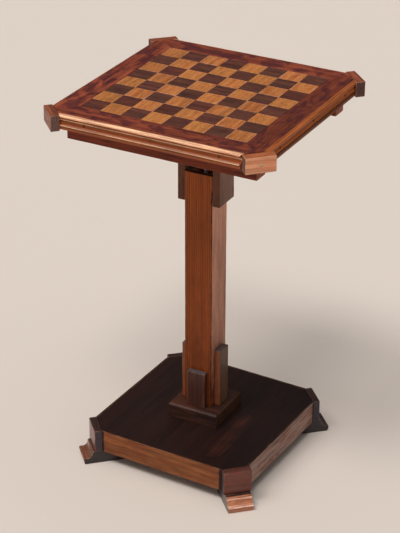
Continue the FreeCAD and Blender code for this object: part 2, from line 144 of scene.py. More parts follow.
def swept(section, start, stop):
    """A closed prism: section is (y, z) points, swept along x."""
    bm = bmesh.new()
    ends = [[bm.verts.new((x, y, z)) for y, z in section] for x in (start, stop)]
    bm.faces.new(ends[0])
    bm.faces.new(reversed(ends[1]))
    for k in range(len(section)):
        after = (k + 1) % len(section)
        bm.faces.new((ends[0][k], ends[1][k], ends[1][after], ends[0][after]))
    bmesh.ops.recalc_face_normals(bm, faces=bm.faces)
    return bm


def bisect(bm, at, normal, **options):
    """Cuts all faces along a plane, and returns the points and edges of the cut."""
    everything = bm.verts[:] + bm.edges[:] + bm.faces[:]
    return bmesh.ops.bisect_plane(bm, geom=everything, plane_co=at, plane_no=normal, **options)["geom_cut"]


def cut_away(bm, distance, normal):
    """Takes away what lies past the plane at distance along normal, and closes the cut."""
    normal = Vector(normal).normalized()
    cut = bisect(bm, normal * distance, normal, clear_outer=True)
    rim = [g for g in cut if isinstance(g, bmesh.types.BMEdge)]
    if rim:
        bmesh.ops.contextual_create(bm, geom=rim)


def slice_up(bm, axis, start, stop, pitch):
    """Adds rings of vertices across an axis, so that wear and stain can vary along the piece."""
    count = int((stop - start) / pitch)
    normal = Vector([float(k == axis) for k in range(3)])
    for k in range(1, count):
        bisect(bm, normal * (start + (stop - start) * k / count), normal)


def is_sharp(edge):
    return edge.is_manifold and edge.calc_face_angle() > CREASE


def runs_along_grain(edge):
    a, b = edge.verts
    return abs(a.co.x - b.co.x) > 0.99 * edge.calc_length()


def any_edge(edge):
    return True


def ease_arrises(bm, radius, segments, wanted):
    """Rounds the sharp edges that wanted() accepts, and marks the new faces in the layer arris."""
    arris = bm.faces.layers.float.new("arris")
    sharp = [e for e in bm.edges if is_sharp(e) and wanted(e)]
    if radius and sharp:
        made = bmesh.ops.bevel(bm, geom=sharp, offset=radius, segments=segments, profile=0.5,
                               affect="EDGES", clamp_overlap=True)
        for face in made["faces"]:
            face[arris] = 1.0
    return arris


# how many times in a metre these change: the wear of arrises, its finer part, and the waver of faces
RUB, FINE_RUB, SLOW_WAVER = 38.0, 140.0, 9.0


def wear_down(bm, arris, seed, wear, waver):
    """Moves arrises inwards unevenly, and every point by a slow small waver, always into the wood."""
    bm.normal_update()
    moves = []
    for v in bm.verts:
        on_arris = max((f[arris] for f in v.link_faces), default=0.0)
        p = v.co + seed
        rub = max(0.0, noise.noise(p * RUB)) + 0.5 * max(0.0, noise.noise(p * FINE_RUB))
        slow = 0.5 + 0.5 * noise.noise(p * SLOW_WAVER)
        moves.append(v.normal * -(on_arris * rub * wear + slow * waver))
    for v, move in zip(bm.verts, moves):
        v.co += move


# end grain begins to show on a face that leans this far towards the grain, and is full this much further
END_FROM, END_OVER = 0.55, 0.3


def mark_wood(bm, arris, place, shade, stain):
    """Stores what the wood materials read, and the shading of each edge."""
    grain = bm.loops.layers.float_vector.new("grain")
    layers = {name: bm.faces.layers.float.new(name) for name in ("end", "stain", "tone", "hue")}
    bm.normal_update()
    for f in bm.faces:
        for corner in f.loops:
            corner[grain] = corner.vert.co + place
        f[layers["end"]] = min(1.0, max(0.0, (abs(f.normal.x) - END_FROM) / END_OVER))
        f[layers["stain"]] = stain(f.calc_center_median(), f.normal)
        f[layers["tone"]], f[layers["hue"]] = shade
        f.smooth = True
    for e in bm.edges:
        border = e.is_manifold and e.link_faces[0][arris] != e.link_faces[1][arris]
        e.smooth = not (is_sharp(e) or border)


def no_stain(at, normal):
    return 0.0


def no_detail(bm):
    """Leaves a piece as it is."""


def timber(section, start, stop, turn=ALONG_X, cuts=(), ease=0.6, segments=2, pitch=14.0, wear=0.35,
           waver=0.08, log=(60.0, 180.0), shade=(0.0, 0.0), stain=no_stain, seed="", wanted=any_edge,
           finer=no_detail, shift=(0, 0, 0)):
    """The mesh of one piece of wood. section lies across the grain, which runs along x from start to stop.
    turn and shift put it in the table, and cuts are (distance, normal) in the turned frame. ease, pitch,
    wear and waver are in mm, log is the place in the tree in mm from the pith, shade is tone and hue."""
    rng = random.Random(seed)
    bm = swept(section, start, stop)
    for distance, normal in cuts:
        cut_away(bm, distance, turn.inverted() @ Vector(normal))
    arris = ease_arrises(bm, ease * MM, segments, wanted)
    if pitch:
        slice_up(bm, 0, start, stop, pitch * MM)
    finer(bm)
    place = Vector((rng.uniform(0, 5), rng.uniform(-2, 2), rng.uniform(-2, 2)))
    wear_down(bm, arris, place, wear * MM, waver * MM)
    mark_wood(bm, arris, Vector((place.x, log[0] * MM, log[1] * MM)), shade, stain)
    bm.transform(Matrix.Translation(shift) @ turn.to_4x4())
    return to_mesh(bm, "timber")


# ---- pieces ----
def to_mesh(bm, name):
    mesh = bpy.data.meshes.new(name)
    bm.to_mesh(mesh)
    bm.free()
    return mesh


def joined(meshes, place=STILL):
    """One mesh of several, which are used up, put in its place."""
    bm = bmesh.new()
    for mesh in meshes:
        bm.from_mesh(mesh)
        bpy.data.meshes.remove(mesh)
    bm.transform(place)
    return to_mesh(bm, "joined")


def linked(name, data):
    """A new object in the scene."""
    obj = bpy.data.objects.new(name, data)
    bpy.context.scene.collection.objects.link(obj)
    return obj


def piece(name, meshes, material, nodes, place=STILL, holes=()):
    """One object from one or more meshes that stands for the CAD nodes, with the holes cut out of it."""
    obj = linked(name, joined(meshes, place))
    obj.data.name = name
    if holes:
        drill(obj, joined(holes, place))
    obj.data.materials.clear()
    obj.data.materials.append(material)
    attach(obj, "root")
    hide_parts(*nodes)


def board(name, node, material, slot, turn, place=STILL, **options):
    """A plain piece with the box of its CAD node, and its grain along the turned x axis."""
    low, high = extent(node, place @ turn.to_4x4())
    section = rectangle(low.y, high.y, low.z, high.z)
    mesh = timber(section, low.x, high.x, turn, seed=node, **options)
    piece(name, [mesh], material, [node], place)


def drill(obj, cutter_mesh):
    """Cuts the cutter out of a finished piece. The walls keep the cutter's own marks."""
    cutter = linked("cutter", cutter_mesh)
    cut = obj.modifiers.new("holes", "BOOLEAN")
    cut.operation, cut.solver, cut.object = "DIFFERENCE", "EXACT", cutter
    bpy.context.view_layer.update()
    whole = obj.data
    result = obj.evaluated_get(bpy.context.evaluated_depsgraph_get())
    drilled = bpy.data.meshes.new_from_object(result)
    drilled.name = whole.name
    crease(drilled)
    obj.modifiers.clear()
    obj.data = drilled
    bpy.data.objects.remove(cutter)
    bpy.data.meshes.remove(whole)
    bpy.data.meshes.remove(cutter_mesh)


def crease(mesh):
    """Shades every edge that turns sharply as a sharp one, such as the rim of a hole."""
    bm = bmesh.new()
    bm.from_mesh(mesh)
    for e in bm.edges:
        if is_sharp(e):
            e.smooth = False
    bm.to_mesh(mesh)
    bm.free()


# ---- materials ----
class Tree:
    """Short calls for a material's nodes."""

    def __init__(self, name):
        self.material = bpy.data.materials.new(name)
        self.material.use_nodes = True
        self.tree = self.material.node_tree
        self.tree.nodes.clear()

    def put(self, kind, values=(), **settings):
        """A node with settings, and its inputs by name or number: a socket is linked, a value is set."""
        node = self.tree.nodes.new("ShaderNode" + kind)
        for key, value in settings.items():
            setattr(node, key, value)
        for key, value in dict(values).items():
            if isinstance(value, bpy.types.NodeSocket):
                self.tree.links.new(value, node.inputs[key])
            else:
                node.inputs[key].default_value = value
        return node

    def maths(self, operation, a, b=0.0, clamp=False):
        return self.put("Math", {0: a, 1: b}, operation=operation, use_clamp=clamp).outputs[0]

    def plus(self, a, b):
        return self.maths("ADD", a, b)

    def minus(self, a, b):
        return self.maths("SUBTRACT", a, b)

    def times(self, a, b, clamp=False):
        return self.maths("MULTIPLY", a, b, clamp)

    def vector(self, operation, a, b):
        return self.put("VectorMath", {0: a, 1: b}, operation=operation).outputs[0]

    def attribute(self, name):
        return self.put("Attribute", attribute_name=name)

    def noise(self, vector, stretch, detail=2.0, roughness=0.5, distortion=0.0):
        """Noise that changes stretch times in a metre along each axis."""
        scaled = self.vector("MULTIPLY", vector, stretch)
        values = {"Vector": scaled, "Scale": 1.0, "Detail": detail, "Roughness": roughness,
                  "Distortion": distortion}
        return self.put("TexNoise", values, normalize=True).outputs["Fac"]

    def span(self, value, low, high, to_low=0.0, to_high=1.0):
        """Maps low..high to to_low..to_high with soft ends."""
        values = {"Value": value, "From Min": low, "From Max": high, "To Min": to_low, "To Max": to_high}
        return self.put("MapRange", values, interpolation_type="SMOOTHSTEP").outputs["Result"]

    def mix(self, share, a, b):
        """Colour a with a share of colour b."""
        return self.put("Mix", {0: share, 6: a, 7: b}, data_type="RGBA").outputs[2]

    def bump(self, height, strength, depth):
        values = {"Height": height, "Strength": strength, "Distance": depth}
        return self.put("Bump", values).outputs["Normal"]

    def finish(self, values):
        shader = self.put("BsdfPrincipled", values)
        self.put("OutputMaterial", {"Surface": shader.outputs[0]})
        return self.material


def growth_rings(t, place, ring, edge, sway, uneven):
    """How dark the late wood is at a place in the log, 0 to 1, and the place bent like the rings."""
    reach = 4 * sway * MM
    coarse = t.vector("MULTIPLY", place, (4.0, 16.0, 16.0))
    wander = t.put("TexNoise", {"Vector": coarse, "Scale": 1.0, "Detail": 3.0}).outputs["Color"]
    offset = t.vector("SUBTRACT", wander, (0.5, 0.5, 0.5))
    bent = t.vector("ADD", place, t.vector("MULTIPLY", offset, (0.0, reach, reach)))
    flat = t.vector("MULTIPLY", bent, (0.0, 1.0, 1.0))
    across = t.put("VectorMath", {0: flat}, operation="LENGTH").outputs["Value"]
    drift = t.times(t.noise(place, (2.0, 90.0, 90.0), detail=1.0), uneven)
    phase = t.plus(t.maths("DIVIDE", across, ring * MM), drift)
    year = t.put("TexWhiteNoise", {"W": t.maths("FLOOR", phase)}, noise_dimensions="1D").outputs["Value"]
    part = t.maths("FRACT", phase)
    late = t.times(t.span(part, 1.0 - edge, 0.92), t.span(part, 0.94, 1.0, 1.0, 0.0))
    return t.times(late, t.plus(t.times(year, 0.6), 0.4)), bent


def marked(t, colour, mark, fibre, patch, end, dark, rubbed_and_highlight, worn):
    """A colour changed by the marks for end grain, stain, wear, painted shade and painted highlights."""
    if end:
        colour = t.mix(t.times(mark["end"], t.span(fibre, 0.2, 0.8, 0.75, 1.0)), colour, end)
    if dark:
        colour = t.mix(t.times(mark["stain"], t.span(patch, 0.2, 0.6, 0.7, 1.0), clamp=True), colour, dark)
    if rubbed_and_highlight:
        bare = t.times(mark["stain"], -1.0, clamp=True)
        colour = t.mix(t.times(bare, t.span(fibre, 0.35, 0.6, 0.35, 1.0)), colour, rubbed_and_highlight)
    if worn:
        rub = t.times(mark["arris"], t.span(patch, 0.36, 0.58))
        colour = t.mix(t.times(rub, t.span(mark["hue"], 0.0, 1.0, 1.0, 0.35)), colour, worn)
    return colour


def wood(name, early, late, flame=None, other=None, end=None, worn=None, dark=None, rubbed_and_highlight=None, ring=8.0,
         ring_depth=0.7, ring_edge=0.6, sway=2.0, uneven=1.6, blotch=0.0, blotch_size=(60.0, 14.0),
         streak=0.6, fleck=70.0, pore=0.3, tone_depth=0.12, grime=0.2, rough=0.42, coat=0.05,
         coat_rough=0.2, shine=0.16, loose=False):
    """Solid wood. early and late are the two colours of a growth ring, flame a third one in blotches, and
    other, end, worn, dark and rubbed_and_highlight go with the marks hue, end, arris and stain, all in
    0..255. dark is a stain, and on some pieces painted shade; rubbed_and_highlight is rubbed wear, and on
    some pieces a painted highlight or sheen; other is a painted sheen on the post and the rail. ring is the
    width of a ring, sway how far it wanders and fleck the length of the streaks, in mm, and uneven how much
    rings differ in width, in rings. loose wood carries no marks."""
    colours = (early, late, flame, other, end, worn, dark, rubbed_and_highlight)
    early, late, flame, other, end, worn, dark, rubbed_and_highlight = (c and rgb(*c) for c in colours)
    t = Tree(name)
    place = t.put("TexCoord").outputs["Object"] if loose else t.attribute("grain").outputs["Vector"]
    mark = {key: t.attribute(key).outputs["Fac"] for key in ("end", "arris", "stain", "tone", "hue")}
    rings, bent = growth_rings(t, place, ring, ring_edge, sway, uneven)
    fibre = t.noise(place, (1000 / fleck, 420.0, 420.0), detail=4.0, roughness=0.65)
    broad = t.noise(place, (3.0, 130.0, 130.0))
    pores = t.span(t.noise(place, (60.0, 1250.0, 1250.0), detail=1.0), 0.58, 0.72)
    patch = t.noise(place, (40.0, 120.0, 120.0))
    dirt = t.noise(place, (9.0, 30.0, 30.0), detail=4.0, roughness=0.6)

    colour = t.mix(t.times(rings, ring_depth, clamp=True), early, late)
    if other:
        colour = t.mix(mark["hue"], colour, t.mix(t.times(rings, 0.35 * ring_depth), other, late))
    if flame:
        along, wide = (1000 / size for size in blotch_size)
        cloud = t.noise(bent, (along, wide, wide), detail=3.0, roughness=0.6, distortion=0.6)
        colour = t.mix(t.times(t.span(cloud, 0.42, 0.6), blotch), colour, flame)
    colour = marked(t, colour, mark, fibre, patch, end, dark, rubbed_and_highlight, worn)

    shade = t.plus(t.times(t.minus(fibre, 0.5), 2 * streak), t.times(t.minus(broad, 0.5), 1.4 * streak))
    shade = t.minus(t.minus(shade, t.times(pores, pore)), t.span(dirt, 0.45, 0.75, 0.0, grime))
    shade = t.plus(shade, t.times(mark["tone"], tone_depth))
    light = t.maths("MAXIMUM", t.plus(shade, 1.0), 0.05)
    colour = t.put("VectorMath", {0: colour, "Scale": light}, operation="SCALE").outputs[0]
    roughness = t.plus(t.plus(t.times(fibre, 0.16), rough - 0.08), t.span(dirt, 0.4, 0.7, 0.0, 0.12))
    roughness = t.plus(roughness, t.times(mark["end"], 0.3))
    height = t.plus(t.minus(t.times(fibre, 0.6), pores), t.times(patch, 0.8))
    return t.finish({"Base Color": colour, "Roughness": roughness, "Normal": t.bump(height, 0.3, 0.15 * MM),
                     "Coat Weight": coat, "Coat Roughness": coat_rough, "Specular IOR Level": shine})


def metal(name, colour, rough):
    """Steel with fine scratches and darker spots. Its colour is in 0..255."""
    t = Tree(name)
    colour = rgb(*colour)
    place = t.put("TexCoord").outputs["Object"]
    scratch = t.noise(place, (900.0, 900.0, 75.0), detail=3.0)
    spots = t.noise(place, (220.0, 220.0, 220.0))
    tarnish = tuple(c * 0.35 for c in colour[:3]) + (1.0,)
    base = t.mix(t.span(spots, 0.45, 0.7), colour, tarnish)
    roughness = t.plus(t.times(scratch, 0.3), rough)
    relief = t.bump(scratch, 0.2, 0.05 * MM)
    return t.finish({"Base Color": base, "Metallic": 1.0, "Roughness": roughness, "Normal": relief})


def rgb(*colour):
    """Red, green and blue given in 0..255 as they are seen on a screen."""
    linear = [((c / 255 + 0.055) / 1.055) ** 2.4 if c > 10 else c / 255 / 12.92 for c in colour]
    return (*linear, 1.0)


LIGHT_VENEER = wood(
    "light_veneer", (194, 124, 72), (166, 82, 38), flame=(182, 94, 48), other=(196, 130, 70),
    end=(110, 62, 34), worn=(226, 176, 146), ring=2.6, ring_depth=0.8, ring_edge=0.75, blotch=0.5,
    blotch_size=(9.0, 3.2), fleck=14.0, pore=0.35, tone_depth=0.10, rough=0.4, coat=0.06)
DARK_VENEER = wood(
    "dark_veneer", (106, 57, 39), (67, 36, 30), flame=(94, 46, 46), other=(94, 60, 43), end=(30, 18, 16),
    worn=(122, 62, 36), ring=3.4, ring_depth=0.8, ring_edge=0.7, sway=1.5, blotch=0.6,
    blotch_size=(16.0, 6.0), streak=0.9, fleck=16.0, pore=0.4, tone_depth=0.10, rough=0.4, coat=0.06)
BORDER_VENEER = wood(
    "border_veneer", (146, 70, 46), (104, 42, 30), flame=(80, 33, 36), other=(98, 42, 27), end=(50, 25, 20),
    ring=22.0, ring_depth=0.8, ring_edge=0.7, sway=14.0, blotch=0.85, blotch_size=(36.0, 20.0), streak=0.9,
    fleck=40.0, rough=0.38, coat=0.08)
# lit moulding of the front and back: dark is the painted shade in its grooves and cove,
# rubbed_and_highlight the painted highlight on its beads
LIT_MOULDING_WOOD = wood(
    "moulding_wood", (178, 84, 24), (102, 40, 10), end=(60, 30, 18), worn=(200, 120, 72), dark=(38, 13, 6),
    rubbed_and_highlight=(255, 197, 150), ring=2.4, ring_depth=0.85, sway=1.0, streak=0.45, rough=0.3, coat=0.5,
    coat_rough=0.16, shine=0.25)
# a dimmer, shaded copy for the right and left mouldings, with no coat; its dark and rubbed_and_highlight
# are painted shade and painted highlight too
SHADED_MOULDING_WOOD = wood(
    "shaded_moulding_wood", (180, 94, 42), (112, 50, 20), end=(60, 30, 18), worn=(176, 116, 84),
    dark=(44, 17, 9), rubbed_and_highlight=(208, 140, 100), ring=2.4, ring_depth=0.85, sway=1.0, rough=0.36, coat=0.0,
    shine=0.08)
# worn, on the arrises, is partly wear and partly a painted glint along the edges
BLOCK_WOOD = wood(
    "corner_block_wood", (222, 158, 118), (178, 110, 80), flame=(200, 112, 80), other=(124, 68, 50),
    end=(84, 62, 58), worn=(196, 138, 112), dark=(147, 65, 14), rubbed_and_highlight=(152, 120, 110), ring=12.0, sway=5.0,
    blotch=0.4, blotch_size=(60.0, 6.0), streak=0.5)
BATTEN_WOOD = wood(
    "batten_wood", (118, 46, 22), (68, 26, 14), flame=(130, 51, 23), end=(170, 104, 80), worn=(130, 74, 48),
    ring=10.0, ring_depth=0.8, sway=5.0, blotch=0.6, blotch_size=(90.0, 10.0), streak=0.5)
BEARER_WOOD = wood(
    "bearer_wood", (150, 128, 118), (120, 100, 92), end=(150, 128, 118), ring=5.0, ring_depth=0.5,
    streak=0.4)
# rubbed_and_highlight is the painted sheen of a cheek's broad faces
CHEEK_WOOD = wood(
    "cheek_wood", (100, 58, 36), (66, 38, 25), flame=(116, 70, 47), end=(48, 32, 26), worn=(112, 70, 48),
    rubbed_and_highlight=(144, 100, 84), ring=9.0, sway=4.0, blotch=0.5, blotch_size=(40.0, 14.0), streak=0.5)
# other is the painted sheen of the side boards, and dark the painted shade towards the foot
POST_WOOD = wood(
    "post_wood", (165, 81, 27), (58, 23, 9), flame=(128, 56, 22), other=(225, 160, 131), end=(46, 38, 42),
    worn=(36, 20, 14), dark=(84, 36, 16), ring=3.7, ring_depth=1.0, ring_edge=0.5, sway=0.2, uneven=0.2,
    blotch=0.3, blotch_size=(160.0, 16.0), streak=0.35, shine=0.14)
# end, a blue grey on the caps, is a painted reflection
STEP_WOOD = wood(
    "step_block_wood", (69, 39, 31), (48, 27, 22), flame=(92, 48, 31), other=(129, 70, 41),
    end=(86, 78, 80), worn=(88, 68, 62), dark=(97, 69, 51), blotch=0.4, streak=0.5, rough=0.36, coat=0.15)
COLLAR_WOOD = wood(
    "collar_wood", (56, 35, 29), (37, 23, 21), flame=(78, 44, 34), end=(71, 43, 26), worn=(58, 34, 27),
    rubbed_and_highlight=(86, 47, 34), ring=10.0, sway=3.0, blotch=0.5, streak=0.5)
BASE_BOARD_WOOD = wood(
    "base_board_wood", (41, 23, 19), (28, 17, 15), flame=(54, 26, 18), end=(30, 22, 20), dark=(24, 14, 13),
    rubbed_and_highlight=(84, 40, 27), ring=24.0, ring_depth=0.6, sway=8.0, blotch=0.3, blotch_size=(190.0, 30.0),
    streak=0.4, pore=0.2, grime=0.15, rough=0.46)
# other, a grey, is the painted sheen of the right rail
RAIL_WOOD = wood(
    "rail_wood", (138, 82, 46), (96, 51, 26), flame=(116, 58, 32), other=(152, 120, 108), end=(60, 40, 30),
    worn=(150, 100, 72), dark=(42, 27, 23), ring=10.0, sway=5.0, blotch=0.7, blotch_size=(60.0, 12.0),
    fleck=40.0, grime=0.3)
BASE_BLOCK_WOOD = wood(
    "base_block_wood", (106, 62, 50), (76, 43, 36), flame=(122, 54, 38), other=(58, 46, 44),
    end=(52, 49, 58), worn=(120, 72, 56), dark=(56, 38, 32), sway=3.0, blotch=0.6, blotch_size=(16.0, 12.0),
    fleck=30.0, rough=0.32, coat=0.4)
# rubbed_and_highlight is the painted highlight along the edges beside the hollow of a toe
FOOT_WOOD = wood(
    "foot_wood", (184, 116, 82), (132, 74, 50), flame=(150, 84, 44), other=(58, 44, 42), end=(46, 44, 52),
    worn=(190, 136, 112), dark=(42, 33, 35), rubbed_and_highlight=(246, 200, 180), sway=3.0, blotch=0.6,
    blotch_size=(14.0, 8.0), fleck=30.0, rough=0.28, coat=0.8, coat_rough=0.15)
CORE_WOOD = wood(
    "core_wood", (150, 104, 66), (122, 80, 48), end=(80, 52, 34), ring=12.0, ring_depth=0.5, sway=6.0,
    streak=0.35)
PALE_COLOURS = ((186, 146, 102), (150, 108, 70))
PALE_WOOD = wood("pale_wood", *PALE_COLOURS, end=(120, 86, 56), ring_depth=0.5, sway=3.0, streak=0.35)
DOWEL_WOOD = wood("dowel_wood", *PALE_COLOURS, ring=3.0, ring_depth=0.5, streak=0.35, loose=True)
SCREW_STEEL = metal("screw_steel", (150, 140, 128), 0.35)
RUSTED_STEEL = metal("rusted_steel", (160, 104, 80), 0.5)
PALE_STEEL = metal("pale_steel", (236, 212, 184), 0.45)
ROD_STEEL = metal("rod_steel", (214, 214, 212), 0.32)


# ---- metal pieces ----
def aimed(at, axis):
    """Puts what hangs down from the origin at a place, so that it points along axis."""
    turn = Vector((0, 0, -1)).rotation_difference(Vector(axis)).to_matrix().to_4x4()
    return Matrix.Translation(at) @ turn


def cone(bm, segments, low, high, length, top):
    """A round solid on the z axis, with a radius at its low and high end, that hangs down from top."""
    middle = Matrix.Translation((0, 0, top - length / 2))
    bmesh.ops.create_cone(bm, cap_ends=True, segments=segments, radius1=low, radius2=high, depth=length,
                          matrix=middle)


def screw(size, length):
    """A slotted countersunk wood screw that points down -Z, with the middle of its head at the origin."""
    shank, head, head_high = size
    slot_half, slot_deep = 0.18 * head, 0.45 * head_high
    bm = bmesh.new()
    cone(bm, 28, shank, head, head_high, 0.0)
    for side in (-1, 1):
        bisect(bm, (0, side * slot_half, 0), (0, 1, 0))
    strip = [f for f in bm.faces if f.normal.z > 0.9 and abs(f.calc_center_median().y) < slot_half / 2]
    sunk = bmesh.ops.extrude_face_region(bm, geom=strip)["geom"]
    bmesh.ops.delete(bm, geom=strip, context="FACES_ONLY")
    low = [v for v in sunk if isinstance(v, bmesh.types.BMVert)]
    bmesh.ops.translate(bm, verts=low, vec=(0, 0, -slot_deep))
    cone(bm, 12, shank / 4, shank, length - head_high, -head_high)
    return bm


def screws(name, node, size, length, places, finish=SCREW_STEEL):
    """Screws at places: (middle of the head, direction that the screw points in, matrix of the piece)."""
    meshes = []
    for k, (at, axis, place) in enumerate(places):
        bm = screw(size, length)
        slot_turn = Matrix.Rotation(random.Random(name + str(k)).uniform(0, math.pi), 4, "Z")
        bm.transform(place @ aimed(at, axis) @ slot_turn)
        meshes.append(to_mesh(bm, "screw"))
    piece(name, meshes, finish, [node])


def hole(radius, depth, at, axis):
    """A round cutter from a face inwards along axis, marked so that its walls come out dark: dirt in the
    sunk hole, and painted shade there.
    """
    over = 4 * MM
    bm = bmesh.new()
    cone(bm, 24, radius, radius, depth + over, over)
    bm.transform(aimed(at, axis))
    arris = bm.faces.layers.float.new("arris")
    mark_wood(bm, arris, Vector((0, 0, 0)), (-1.0, 1.0), lambda at, normal: 1.0)
    return to_mesh(bm, "hole")


# the thread of the M8 rod: its pitch and depth, the points round it, and the rings of points in a turn
THREAD_PITCH, THREAD_DEPTH = 1.25 * MM, 0.7 * MM
THREAD_POINTS, THREAD_RINGS = 24, 6


def thread_ring(bm, radius, z):
    """A ring of points whose distance from the axis follows the helix."""
    ring = []
    for k in range(THREAD_POINTS):
        turn = math.tau * k / THREAD_POINTS
        flank = abs(2 * math.modf(z / THREAD_PITCH + k / THREAD_POINTS)[0] - 1)
        out = radius - THREAD_DEPTH * flank
        ring.append(bm.verts.new((out * math.cos(turn), out * math.sin(turn), z)))
    return ring


def build_rod():
    """The M8 rod. Its thread is modelled only from just below the top of the post."""
    low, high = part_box("tie_rod")
    fine_from = POST_TOP - 10 * MM
    fine_rings = int((high.z - fine_from) / THREAD_PITCH * THREAD_RINGS)
    levels = [low.z] + [fine_from + THREAD_PITCH / THREAD_RINGS * k for k in range(fine_rings)] + [high.z]
    bm = bmesh.new()
    rings = [thread_ring(bm, high.x, z) for z in levels]
    for lower, upper in zip(rings, rings[1:]):
        for k in range(THREAD_POINTS):
            after = (k + 1) % THREAD_POINTS
            bm.faces.new((lower[k], lower[after], upper[after], upper[k]))
    bm.faces.new(reversed(rings[0]))
    bm.faces.new(rings[-1])
    piece("threaded_rod", [to_mesh(bm, "rod")], ROD_STEEL, ["tie_rod"])


# ---- the top ----
# how a veneer is cut: thin, flat and with nearly sharp edges
VENEER = {"ease": 0.15, "segments": 1, "pitch": 0, "wear": 0.1, "waver": 0.0}
TILE_RIM = 0.9 * MM


def rim_of_tile(bm):
    """Marks a narrow band round the top of a tile, which the material draws in the lighter colour of its
    arrises.
    """
    top = [f for f in bm.faces if f.normal.z > 0.9]
    band = bmesh.ops.inset_region(bm, faces=top, thickness=TILE_RIM)["faces"]
    arris = bm.faces.layers.float["arris"]
    for face in band:
        face[arris] = 1.0


def is_dark(column, row):
    return (column + row) % 2 == 0


def square_tile(column, row):
    """One veneer. The dark ones have their grain along X, the light ones along Y."""
    name = f"square_{column}_{row}"
    rng = random.Random(name)
    half = SQUARE / 2 - rng.uniform(0.02, 0.10) * MM
    section = rectangle(-half, half, VENEER_LOW, BOARD_TOP - rng.uniform(0.0, 0.04) * MM)
    centre = Vector(((column + 0.5) * SQUARE - BOARD_HALF, (row + 0.5) * SQUARE - BOARD_HALF, 0))
    turn = ALONG_X if is_dark(column, row) else ALONG_Y
    return timber(section, -half, half, turn, log=(rng.uniform(60, 160), rng.uniform(-70, 70)), seed=name,
                  shade=(rng.uniform(-1, 1), rng.random()), shift=centre, finer=rim_of_tile, **VENEER)


def build_squares():
    places = [(column, row) for column in range(SQUARES) for row in range(SQUARES)]
    dark = [square_tile(*at) for at in places if is_dark(*at)]
    light = [square_tile(*at) for at in places if not is_dark(*at)]
    piece("inlay_dark", dark, DARK_VENEER, ["dark_squares"])
    piece("inlay_light", light, LIGHT_VENEER, ["light_squares"])


MITRES = [(0, (1, 1, 0)), (0, (-1, 1, 0))]


def corner_planes(reach):
    """The planes of the clipped corners at both ends of a front piece."""
    return [(reach, (1, -1, 0)), (reach, (-1, -1, 0))]


def all_corner_planes(reach):
    return corner_planes(reach) + [(reach, (1, 1, 0)), (reach, (-1, 1, 0))]


# tone and hue of the border strip on each side
BORDER_SHADES = ((-0.2, 0.2), (-0.8, 0.5), (0.2, 0.0), (0.5, 0.0))


def build_border():
    section = rectangle(-CORE_HALF, -BOARD_HALF, VENEER_LOW, BOARD_TOP)
    for quarter, side in enumerate(SIDES):
        log = (20.0 + 35 * quarter, 40.0 + 12 * quarter)
        strip = timber(section, -CORE_HALF, CORE_HALF, cuts=MITRES + corner_planes(CORNER_CUT), log=log,
                       shade=BORDER_SHADES[quarter], seed="border" + side, **VENEER)
        piece("border_strip_" + side, [strip], BORDER_VENEER, ["border_" + side],
              turned(90 * quarter))


def moulding_section():
    """Bead, groove, fillet, cove, bead, groove and fillet: (out, down) in mm from the core's top edge."""
    steps = 10
    outline = [(0.0, 0.0)]
    outline += arc((0.8, 0.0), (4.6, 1.9), (6.9, 4.8), steps)
    outline += [(6.9, 4.8), (4.2, 5.2), (4.2, 6.4), (5.4, 6.4), (5.4, 8.0)]
    outline += arc((3.0, 8.0), (3.4, 13.5), (5.8, 18.0), steps)
    outline += arc((5.8, 18.0), (7.0, 19.7), (5.8, 21.4), steps)
    outline += [(5.8, 21.4), (5.0, 21.4), (5.0, 22.4), (6.2, 22.4), (6.2, 27.0), (0.0, 27.0)]
    return [(-CORE_HALF - out * MM, BOARD_TOP - down * MM) for out, down in outline]


# how far down each band of a moulding ends, in mm, and its stain: painted highlights where it is
# negative, painted shade where it is positive. Lit ones, for the front and back: the bead's two halves,
# groove, fillet, the painted light line below it, two bands of cove, the lower bead's top and the rest of
# it, groove, foot. Dimly lit ones, for the right: bead, groove, fillet, the dark line below it, cove, lower
# bead,
# groove, foot. Shaded ones, for the left: the same with a darker bead.
LIT_BANDS = ((2.9, -1.0), (4.82, -0.55), (6.42, 0.8), (7.95, 0.05), (10.7, -0.9), (14.0, 0.45), (17.9, 0.3),
             (18.7, 0.45), (21.3, -0.85), (22.5, 0.6), (30.0, 0.45))
DIMLY_LIT_BANDS = ((4.82, -0.2), (6.42, 1.0), (7.95, -0.4), (9.8, 0.9), (17.9, -0.1), (21.3, 0.8), (22.5, 1.0),
              (30.0, 0.5))
SHADED_BANDS = ((4.82, 0.6),) + DIMLY_LIT_BANDS[1:]
LIGHT_BANDS = {"front": LIT_BANDS, "right": DIMLY_LIT_BANDS, "back": LIT_BANDS, "left": SHADED_BANDS}


def moulding_stain(bands):
    """The painted highlight (negative) and painted shade (positive) of the band that a face lies in."""
    def stain(at, normal):
        down = (BOARD_TOP - at.z) / MM
        return next(value for limit, value in bands if down < limit)
    return stain


# screws of a front moulding: out from the core, down from the top, and along it
TRIM_OUT, TRIM_DOWN = 3.2 * MM, 13.0 * MM
TRIM_SPOTS = [Vector((x * MM, -CORE_HALF - TRIM_OUT, BOARD_TOP - TRIM_DOWN)) for x in (-125, 4, 133)]
# the screws of the top sit sunk in holes that are a little wider than their heads
TRIM_HOLE, BLOCK_HOLE, SINKING = TRIM_SCREW[1] + 0.4 * MM, BLOCK_SCREW[1] + 0.15 * MM, 0.9 * MM
TRIM_SUNK, BLOCK_SUNK = Vector((0, 0.5 * MM, 0)), Vector((0, 0.6 * MM, 0))


